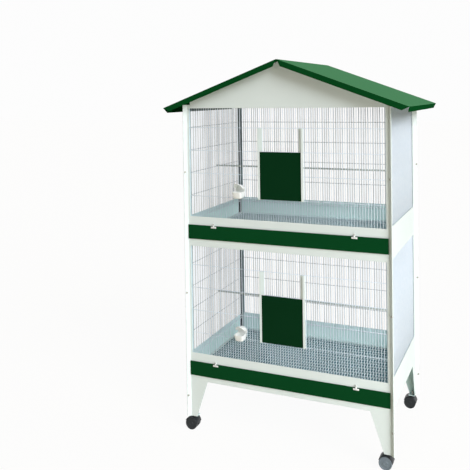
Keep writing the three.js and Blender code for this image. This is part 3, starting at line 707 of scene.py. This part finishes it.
WALL_TURNS = {"front": 0.0, "back": math.pi, "right": math.pi / 2, "left": -math.pi / 2}
for side, turn in WALL_TURNS.items():
    low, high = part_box(f"wire_panel_{side}_lower")
    middle = (low + high) / 2
    outer = {
        "front": (middle.x, low.y),
        "back": (middle.x, high.y),
        "right": (high.x, middle.y),
        "left": (low.x, middle.y),
    }[side]
    width = high.x - low.x if side in ("front", "back") else high.y - low.y
    panel = wire_panel(width / 2 / MM, (high.z - low.z) / MM, side == "front")
    # The left and back panels take the wire with painted shade.
    finish_with(panel, shaded_wire if side in ("left", "back") else white_wire)
    for storey in ("lower", "upper"):
        node = f"wire_panel_{side}_{storey}"
        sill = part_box(node)[0].z + PANEL_SKIRT * MM
        spot = Matrix.Translation((outer[0], outer[1], sill)) @ Matrix.Rotation(turn, 4, "Z")
        twin = copy_at(panel, spot)
        hand_over(twin, f"welded_panel_{side}_{storey}", "cage", "white_wire", node)
    bpy.data.objects.remove(panel)

# Casters
# Twin-wheel furniture casters of moulded nylon: a black hood over the upper half of both
# wheels, a collar and steel stem on it, and dark grey wheels with a dished face and a hub. The
# front right pair is a paler grey-blue.
HOOD_NYLON = ("16181A", "2A2D30")
PALE_NYLON = ("5C686F", "808C94")
WHEEL_NYLON = ("0E1214", "202628")
HOOD_ROUGHNESS = 0.4
WHEEL_ROUGHNESS = 0.45
NYLON_GRAIN = 1.2
PLASTIC_IOR = 1.5
PLASTIC_GLOSS = 0.4
PLASTIC_WEAR = 8.33
WEAR_POLISH = 0.06
WEAR_DULLNESS = 0.08
GRAIN_STRENGTH = 0.15
GRAIN_DEPTH = 0.15
WHEEL_RADIUS = 24.0
WHEEL_WIDTH = 17.0
WHEEL_MIDDLE = 11.6
WHEEL_SIDES = 48
TREAD_ROUND = 1.6
WHEEL_FACE_STEPS = ((2.4, 0.0), (1.2, -1.6), (10.0, 0.6), (0.8, 1.0), (2.0, 0.0), (0.6, -0.8))
HOOD_RADIUS = 26.5
HOOD_SHEET = 1.5
HOOD_HALF_WIDTH = 20.1
HOOD_END_DROP = 6.0
HOOD_CUT = (0.16, 0, 1)
HOOD_ROUND = 0.5
WEB_WIDTH = 5.0
WEB_FOOT = -2.0
AXLE_RADIUS = 4.0
AXLE_SIDES = 24
COLLAR_RADIUS = 8.0
COLLAR_FOOT = 20.5
COLLAR_TOP = 29.7
COLLAR_ROUND = 0.8
COLLAR_SIDES = 32
STEM_RADIUS = 4.0
STEM_SINK = 1.0
STEM_SIDES = 24
CASTER_TRAIL = 10.0


def moulded_plastic(name, tones, roughness, grain):
    """Plastic with the mould's faint grain, drawn coarser than life, and a little wear."""
    plastic, tree, shader, place = new_finish(name)
    rubs = {"Vector": place, "Scale": 1 / (PLASTIC_WEAR * MM), "Detail": 6.0}
    wear = add_node(tree, "ShaderNodeTexNoise", rubs)
    shades = {"Factor": wear, "A": linear(tones[0]), "B": linear(tones[1])}
    sheen = {
        "Value": wear,
        "From Min": NOISE_LOW,
        "From Max": NOISE_HIGH,
        "To Min": roughness - WEAR_POLISH,
        "To Max": roughness + WEAR_DULLNESS,
    }
    pits = {"Vector": place, "Scale": 1 / (grain * MM)}
    grit = {
        "Height": add_node(tree, "ShaderNodeTexNoise", pits),
        "Strength": GRAIN_STRENGTH,
        "Distance": GRAIN_DEPTH * MM,
    }
    finish = {
        "IOR": PLASTIC_IOR,
        "Specular IOR Level": PLASTIC_GLOSS,
        "Base Color": add_node(tree, "ShaderNodeMix", shades, data_type="RGBA").outputs["Result"],
        "Roughness": add_node(tree, "ShaderNodeMapRange", sheen),
        "Normal": add_node(tree, "ShaderNodeBump", grit),
    }
    connect(tree, shader, finish)
    return plastic


def open_cut(piece, place, direction, **keep):
    """Cuts a piece through at a plane and keeps what the settings say."""
    pick_faces(piece, lambda face: True)
    bpy.ops.mesh.bisect(plane_co=Vector(place) * MM, plane_no=direction, **keep)
    done_editing()


# Moulded nylon is an even dark colour with a soft sheen, paler grey-blue on the front right
# wheels.
black_nylon = moulded_plastic("black_moulded_nylon", HOOD_NYLON, HOOD_ROUGHNESS, NYLON_GRAIN)
grey_nylon = moulded_plastic(
    "grey_blue_moulded_nylon", PALE_NYLON, WHEEL_ROUGHNESS, NYLON_GRAIN
)
dark_nylon = moulded_plastic("dark_grey_moulded_nylon", WHEEL_NYLON, WHEEL_ROUGHNESS, NYLON_GRAIN)

wheels = []
for way in (-1, 1):
    inner_end = way * (WHEEL_MIDDLE - WHEEL_WIDTH / 2)
    outer_end = way * (WHEEL_MIDDLE + WHEEL_WIDTH / 2)
    wheel = round_bar(WHEEL_RADIUS, (0, inner_end, 0), (0, outer_end, 0), WHEEL_SIDES)
    pick_faces(wheel, bar_end)
    bpy.ops.mesh.bevel(offset=TREAD_ROUND * MM, segments=3)
    done_editing()
    pick_faces(wheel, lambda face: bar_end(face) and face.normal.y * way > SQUARE_LIMIT)
    for width, rise in WHEEL_FACE_STEPS:
        bpy.ops.mesh.inset(thickness=width * MM, depth=rise * MM)
    done_editing()
    wheels.append(wheel)
axle = round_bar(AXLE_RADIUS, (0, -WHEEL_MIDDLE, 0), (0, WHEEL_MIDDLE, 0), AXLE_SIDES)
wheel_pair = smooth(join(wheels + [axle]))

hood = round_bar(HOOD_RADIUS, (0, -HOOD_HALF_WIDTH, 0), (0, HOOD_HALF_WIDTH, 0), WHEEL_SIDES)
pick_faces(hood, bar_end)
bpy.ops.mesh.delete(type="ONLY_FACE")
done_editing()
open_cut(hood, (0, 0, HOOD_END_DROP), HOOD_CUT, clear_inner=True, use_fill=False)
modify(hood, "SOLIDIFY", thickness=HOOD_SHEET * MM, offset=-1.0)
round_edges(hood, HOOD_ROUND, 2)
web_half = WEB_WIDTH / 2
web = round_bar(HOOD_RADIUS - HOOD_SHEET / 2, (0, -web_half, 0), (0, web_half, 0), WHEEL_SIDES)
open_cut(web, (0, 0, WEB_FOOT), (0, 0, 1), clear_inner=True, use_fill=True)
collar_foot, collar_top = (CASTER_TRAIL, 0, COLLAR_FOOT), (CASTER_TRAIL, 0, COLLAR_TOP)
collar = round_bar(COLLAR_RADIUS, collar_foot, collar_top, COLLAR_SIDES)
round_edges(collar, COLLAR_ROUND, 2)
stem_foot = (CASTER_TRAIL, 0, COLLAR_TOP - STEM_SINK)
stem_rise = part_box("caster_housing_front_left")[1].z / MM - WHEEL_RADIUS
stem = round_bar(STEM_RADIUS, stem_foot, (CASTER_TRAIL, 0, stem_rise), STEM_SIDES)
finish_with(stem, plated_steel)
housing = smooth(join([finish_with(join([hood, web, collar]), black_nylon), stem]))
for name in ("front_left", "front_right", "back_left", "back_right"):
    low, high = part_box(f"caster_wheels_{name}")
    spot = Matrix.Translation((low + high) / 2)
    pair = copy_at(wheel_pair, spot)
    finish_with(pair, grey_nylon if name == "front_right" else dark_nylon)
    hand_over(pair, f"wheels_{name}", f"wheels_{name}", "wheel_plastic", f"caster_wheels_{name}")
    shell = copy_at(housing, spot)
    hand_over(shell, f"hood_{name}", f"swivel_{name}", "black_plastic", f"caster_housing_{name}")
bpy.data.objects.remove(wheel_pair)
bpy.data.objects.remove(housing)

# Floor grates
# Welded galvanised mesh over each drawer's tray: front-to-back wires 10.4 mm apart on top, cross
# wires 26 mm apart under them.
GRATE_ZINC = ("DEFAFF", "F2FFFF")
GRATE_METALLIC = 0.1
GRATE_ROUGHNESS = 0.4
GRATE_BLOOM = 14.3
GRATE_RIM_INSET = 1.5
GRATE_CROSS_PITCH = 26.0

# Galvanising gives the mesh a pale, slightly bluish grey that glints only along each wire.
galvanised_wire, tree, shader, place = new_finish("galvanised_welded_wire")
blooms = {"Vector": place, "Scale": 1 / (GRATE_BLOOM * MM), "Detail": 5.0}
bloom = add_node(tree, "ShaderNodeTexNoise", blooms)
tones = {"Factor": bloom, "A": linear(GRATE_ZINC[0]), "B": linear(GRATE_ZINC[1])}
finish = {
    "Metallic": GRATE_METALLIC,
    "Roughness": GRATE_ROUGHNESS,
    "Base Color": add_node(tree, "ShaderNodeMix", tones, data_type="RGBA").outputs["Result"],
}
connect(tree, shader, finish)


def grate_wires(reach, half, level, pitch, lengthways):
    """Wires from -reach to reach at one level, which run from front to back or across."""
    count = round(2 * reach / pitch) + 1
    if lengthways:
        return wire_row((-reach, -half, level), (-reach, half, level), (pitch, 0, 0), count)
    return wire_row((-half, -reach, level), (half, -reach, level), (0, pitch, 0), count)


for storey in ("lower", "upper"):
    node = f"floor_grate_{storey}"
    low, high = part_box(node)
    middle = (low + high) / 2
    half_x, half_y = (high.x - low.x) / 2 / MM, (high.y - low.y) / 2 / MM
    top = (high.z - low.z) / MM - WIRE_RADIUS
    under = top - 2 * WIRE_RADIUS + WELD_SINK
    rim_x, rim_y = half_x - GRATE_RIM_INSET, half_y - GRATE_RIM_INSET
    reach_x = WIRE_PITCH * math.floor((rim_x - WIRE_PITCH / 2) / WIRE_PITCH)
    reach_y = GRATE_CROSS_PITCH * math.floor(rim_y / GRATE_CROSS_PITCH)
    rows = [
        grate_wires(reach_x, half_y, top, WIRE_PITCH, True),
        grate_wires(reach_y, half_x, under, GRATE_CROSS_PITCH, False),
        grate_wires(rim_x, half_y, top, 2 * rim_x, True),
        grate_wires(rim_y, half_x, under, 2 * rim_y, False),
    ]
    grate = smooth(finish_with(join(rows), galvanised_wire), WIRE_SMOOTH)
    grate.matrix_world = Matrix.Translation((middle.x, middle.y, low.z))
    hand_over(put_down(grate), f"mesh_floor_{storey}", "cage", "zinc_wire", node)

# Drawers
# A front pan of steel sheet, folded and enamelled green, with a tray of folded galvanised sheet
# behind it that slides over the ledges of the walls.
GREEN_ENAMEL = {"fresh": "074420", "dulled": "063E1C", "scuffed": "1E5030"}
ENAMEL_ROUGHNESS = 0.4
ENAMEL_GLOSS = 0.03
TRAY_ZINC = ("4A7884", "6294A2")
TRAY_METALLIC = 0.5
TRAY_ROUGHNESS = (0.32, 0.5)
SPANGLE = 11.0

# Enamel gives the pans a deep, even green with a low gloss.
green_enamel = coated_sheet(
    "dark_green_enamel_on_steel", GREEN_ENAMEL, ENAMEL_ROUGHNESS, ENAMEL_GLOSS
)

# Galvanised sheet shows the zinc's large crystals, dulled by cleaning.
galvanised_sheet, tree, shader, place = new_finish("galvanised_tray_sheet")
crystals = {"Vector": place, "Scale": 1 / (SPANGLE * MM)}
cells = add_node(tree, "ShaderNodeTexVoronoi", crystals).outputs["Color"]
flake = add_node(tree, "ShaderNodeSeparateColor", {"Color": cells}).outputs
tones = {"Factor": flake[0], "A": linear(TRAY_ZINC[0]), "B": linear(TRAY_ZINC[1])}
glint = {"Value": flake[1], "To Min": TRAY_ROUGHNESS[0], "To Max": TRAY_ROUGHNESS[1]}
finish = {
    "Metallic": TRAY_METALLIC,
    "Base Color": add_node(tree, "ShaderNodeMix", tones, data_type="RGBA").outputs["Result"],
    "Roughness": add_node(tree, "ShaderNodeMapRange", glint),
}
connect(tree, shader, finish)

for storey in ("lower", "upper"):
    dress(f"drawer_front_{storey}", green_enamel)
    dress(f"drawer_tray_{storey}", galvanised_sheet)

# Latches
# A white nylon T clip at each end of a drawer: its foot lies over the drawer's upper edge, its
# stem over the rail, and a plated screw sits at the top of the stem.
CLIP_NYLON = ("EEF4F0", "FAFDFB")
CLIP_ROUGHNESS = 0.35
CLIP_GRAIN = 1.5
CLIP_GLOW_SHARE = 0.4
CLIP_GLOW_DEPTH = 6.0
LATCH_FOOT_WIDTH = 22.0
LATCH_FOOT_HEIGHT = 6.5
LATCH_STEM_WIDTH = 6.0
LATCH_THICKNESS = 2.0
LATCH_ROUND = 0.6
LATCH_SCREW_RADIUS = 1.8
LATCH_SCREW_DROP = 3.0
LATCH_SCREW_RISE = 1.0
LATCH_SCREW_SINK = 0.2
LATCH_SCREW_ROUND = 0.5
LATCH_SCREW_SIDES = 20
LATCH_PIN_RADIUS = 2.0
LATCH_PIN_REACH = 1.4
LATCH_PIN_SIDES = 16

# Nylon moulded white is smooth and waxy, and lets some light through where it is thin.
white_nylon = moulded_plastic("white_moulded_plastic", CLIP_NYLON, CLIP_ROUGHNESS, CLIP_GRAIN)
glow_inputs = {
    "Subsurface Weight": CLIP_GLOW_SHARE,
    "Subsurface Radius": (1.0, 1.0, 1.0),
    "Subsurface Scale": CLIP_GLOW_DEPTH * MM,
}
tree = white_nylon.node_tree
connect(tree, tree.nodes["Principled BSDF"], glow_inputs)
low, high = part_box("latch_left_lower")
clip_height = (high.z - low.z) / MM
foot_middle = LATCH_FOOT_HEIGHT / 2
clip_face = LATCH_THICKNESS / 2
foot_size = (LATCH_FOOT_WIDTH, LATCH_THICKNESS, LATCH_FOOT_HEIGHT)
clip = block(foot_size, (0, 0, foot_middle))
for way in (-1, 1):
    open_cut(clip, (way * LATCH_STEM_WIDTH / 2, 0, 0), (1, 0, 0))
stem_half = LATCH_STEM_WIDTH / 2 * MM
pick_faces(clip, lambda face: face.normal.z > SQUARE_LIMIT and abs(face.center.x) < stem_half)
stem_rise = (0, 0, (clip_height - LATCH_FOOT_HEIGHT) * MM)
bpy.ops.mesh.extrude_region_move(TRANSFORM_OT_translate={"value": stem_rise})
done_editing()
finish_with(round_edges(clip, LATCH_ROUND, 3), white_nylon)
stud_level = clip_height - LATCH_SCREW_DROP
stud_foot = (0, -clip_face + LATCH_SCREW_SINK, stud_level)
stud_top = (0, -clip_face - LATCH_SCREW_RISE, stud_level)
stud = round_bar(LATCH_SCREW_RADIUS, stud_foot, stud_top, LATCH_SCREW_SIDES)
pick_faces(stud, facing(0, -1, 0))
bpy.ops.mesh.bevel(offset=LATCH_SCREW_ROUND * MM, segments=2)
done_editing()
finish_with(stud, plated_steel)
pin_start, pin_end = (0, 0, foot_middle), (0, clip_face + LATCH_PIN_REACH, foot_middle)
pin = finish_with(round_bar(LATCH_PIN_RADIUS, pin_start, pin_end, LATCH_PIN_SIDES), white_nylon)
latch = smooth(join([clip, stud, pin]))
for storey in ("lower", "upper"):
    for side in ("left", "right"):
        name = f"latch_{side}_{storey}"
        low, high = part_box(name)
        front = low.y + (LATCH_SCREW_RISE + clip_face) * MM
        twin = copy_at(latch, Matrix.Translation(((low.x + high.x) / 2, front, low.z)))
        hand_over(twin, f"clip_{side}_{storey}", name, "white_plastic", name)
bpy.data.objects.remove(latch)

# Doors and their guides
# A flat plate of steel sheet, enamelled green, that lifts in two channels of folded sheet. The
# channels are coated white and fixed over the wires.
DOOR_ENAMEL = {"fresh": "063218", "dulled": "052C14", "scuffed": "1C4228"}
GUIDE_ROUND = 0.2

# The doors' enamel is a shade darker than the drawers', with the same low gloss.
door_enamel = coated_sheet("dark_green_door_enamel", DOOR_ENAMEL, ENAMEL_ROUGHNESS, ENAMEL_GLOSS)
for storey in ("lower", "upper"):
    dress(f"door_{storey}", door_enamel)
    for side in ("left", "right"):
        dress(f"door_guide_{side}_{storey}", white_coat, GUIDE_ROUND)

# Perches
# A plain 7 mm rod of pale grey plastic, which rests on the side panels' wires at its ends and
# crosses each storey from side to side.
PERCH_PLASTIC = ("B8C2BE", "D0D8D4")
PERCH_ROUGHNESS = 0.6
PERCH_GRAIN = 2.0
PERCH_TIP = 0.8
PERCH_SIDES = 24

# The rods' plastic is matt, with a grain that gives the birds a hold.
perch_plastic = moulded_plastic("grey_perch_plastic", PERCH_PLASTIC, PERCH_ROUGHNESS, PERCH_GRAIN)
for storey in ("lower", "upper"):
    node = f"perch_{storey}"
    low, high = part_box(node)
    middle = (low + high) / 2
    radius = (high.z - low.z) / 2 / MM
    rod = round_bar(radius, (low.x / MM, 0, 0), (high.x / MM, 0, 0), PERCH_SIDES)
    pick_faces(rod, bar_end)
    bpy.ops.mesh.bevel(offset=PERCH_TIP * MM, segments=2)
    done_editing()
    rod.matrix_world = Matrix.Translation((0, middle.y, middle.z))
    rod = smooth(finish_with(put_down(rod), perch_plastic))
    hand_over(rod, f"rod_{storey}", "cage", "perch_rod", node)

# Feeders
# A tapered seed cup under an arched visor of glossy white plastic, on one back plate, hung
# outside the front wires left of each door by a tongue that reaches in between two wires.
FEEDER_WALL = 1.6
FEEDER_DEPTH = 46.0
FEEDER_HALF_WIDTH = 19.0
FEEDER_SIDES = 48
RIM_ROUND = 0.4
RIM_TURN = 60
CUP_HEIGHT = 26.0
CUP_FOOT_SHARE = 0.8
CUP_ROUND = 6.0
VISOR_BACK_LEVEL = 31.0
VISOR_FRONT_LEVEL = 40.4
VISOR_DEPTH = 42.0
VISOR_FOOT = 38.0
VISOR_OVERRUN = 12.0
VISOR_CUT = (0.0, -20.0, -12.0)
PLATE_INSET = 0.2
TONGUE_SHIFT = 4.6
TONGUE_WIDTH = 6.0
TONGUE_HEIGHT = 9.0
TONGUE_LENGTH = 24.0
TONGUE_FOOT = 3.2
TONGUE_ROUND = 1.0

cup_size = (2 * FEEDER_HALF_WIDTH, FEEDER_DEPTH, CUP_HEIGHT)
cup = block(cup_size, (0, -FEEDER_DEPTH / 2, CUP_HEIGHT / 2))
pick_faces(cup, facing(0, 0, -1))
bpy.ops.transform.resize(value=(CUP_FOOT_SHARE, CUP_FOOT_SHARE, 1), center_override=(0, 0, 0))
done_editing()
pick_faces(cup, facing(0, 0, 1))
bpy.ops.mesh.delete(type="ONLY_FACE")
done_editing()
round_edges(cup, CUP_ROUND, 4)
modify(cup, "SOLIDIFY", thickness=FEEDER_WALL * MM, offset=-1.0)
round_edges(cup, RIM_ROUND, 2, RIM_TURN)
overrise = (VISOR_FRONT_LEVEL - VISOR_BACK_LEVEL) / VISOR_DEPTH * VISOR_OVERRUN
visor = round_bar(
    FEEDER_HALF_WIDTH,
    (0, VISOR_OVERRUN, VISOR_BACK_LEVEL - overrise),
    (0, -VISOR_DEPTH - VISOR_OVERRUN, VISOR_FRONT_LEVEL + overrise),
    FEEDER_SIDES,
)
visor_front = (0, -VISOR_DEPTH, VISOR_FRONT_LEVEL + FEEDER_HALF_WIDTH)
cuts = (((0, 0, VISOR_FOOT), (0, 0, -1)), (visor_front, VISOR_CUT), ((0, 0, 0), (0, 1, 0)))
for place, outward in cuts:
    open_cut(visor, place, outward, clear_outer=True, use_fill=False)
modify(visor, "SOLIDIFY", thickness=FEEDER_WALL * MM, offset=-1.0)
round_edges(visor, RIM_ROUND, 2, RIM_TURN)
plate = round_bar(
    FEEDER_HALF_WIDTH - PLATE_INSET,
    (0, -PLATE_INSET, VISOR_BACK_LEVEL),
    (0, PLATE_INSET - FEEDER_WALL, VISOR_BACK_LEVEL),
    FEEDER_SIDES,
)
plate_foot = CUP_HEIGHT - FEEDER_WALL
open_cut(plate, (0, 0, plate_foot), (0, 0, 1), clear_inner=True, use_fill=True)
tongue = block(
    (TONGUE_WIDTH, TONGUE_LENGTH + FEEDER_WALL, TONGUE_HEIGHT),
    (TONGUE_SHIFT, (TONGUE_LENGTH - FEEDER_WALL) / 2, TONGUE_FOOT + TONGUE_HEIGHT / 2),
)
modify(tongue, "BEVEL", width=TONGUE_ROUND * MM, segments=3)
feeder = smooth(finish_with(join([cup, visor, plate, tongue]), white_nylon))
for storey in ("lower", "upper"):
    node = f"feeder_{storey}"
    low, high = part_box(node)
    spot = Vector(((low.x + high.x) / 2, low.y + FEEDER_DEPTH * MM, low.z))
    twin = copy_at(feeder, Matrix.Translation(spot))
    hand_over(twin, f"hooded_cup_{storey}", "cage", "white_plastic", node)
bpy.data.objects.remove(feeder)

# Roof
# Two slopes of steel sheet with folded edges, joined by a folded strip under the ridge, all
# enamelled green.
# The top tone is painted light on the slopes' upper side.
ROOF_ENAMEL = {"fresh": "0C4C22", "dulled": "0A421C", "scuffed": "205832", "top": "5A986A"}
ROOF_ROUGHNESS = 0.5
ROOF_GLOSS = 0.0

# The roof's enamel is matt and deep green; the slopes' upper side carries a paler painted light.
roof_enamel = coated_sheet("dark_green_roof_enamel_with_painted_light", ROOF_ENAMEL, ROOF_ROUGHNESS, ROOF_GLOSS)
for node in ("roof_slope_left", "roof_slope_right", "ridge_strip"):
    dress(node, roof_enamel)
